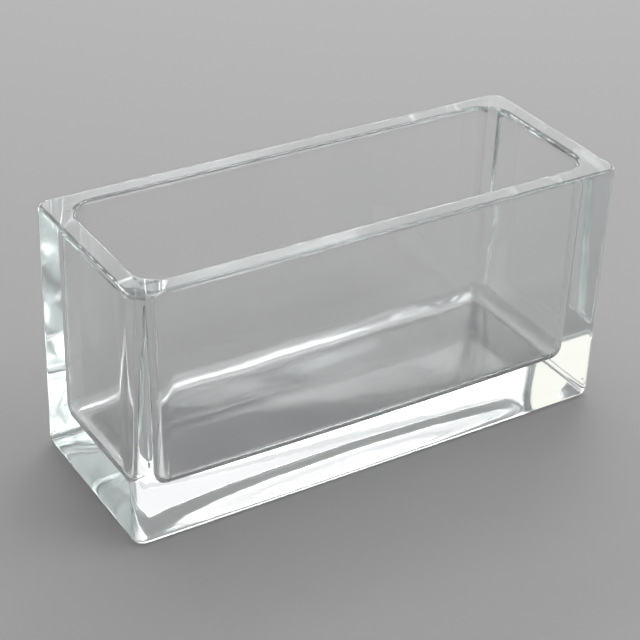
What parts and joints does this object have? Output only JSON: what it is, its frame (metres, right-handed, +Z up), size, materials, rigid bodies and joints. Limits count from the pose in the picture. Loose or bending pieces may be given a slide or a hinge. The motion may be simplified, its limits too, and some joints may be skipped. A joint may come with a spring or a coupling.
{
  "type": "rectangular glass cuvette",
  "caption": "Open-topped rectangular trough of thick clear pressed glass with a heavy solid foot, for holding liquid or samples to be looked through.",
  "frame": {"origin": "middle of the foot's underside", "axes": "+X along the length, +Y across the width, +Z up to the open rim"},
  "size_m": [0.1, 0.038, 0.05],
  "materials": {
    "clear_glass": "clear pressed glass, fire-polished edges, faint green in the thick foot"
  },
  "bodies": {
    "root": {"glass_body": "clear_glass"}
  },
  "joints": []
}
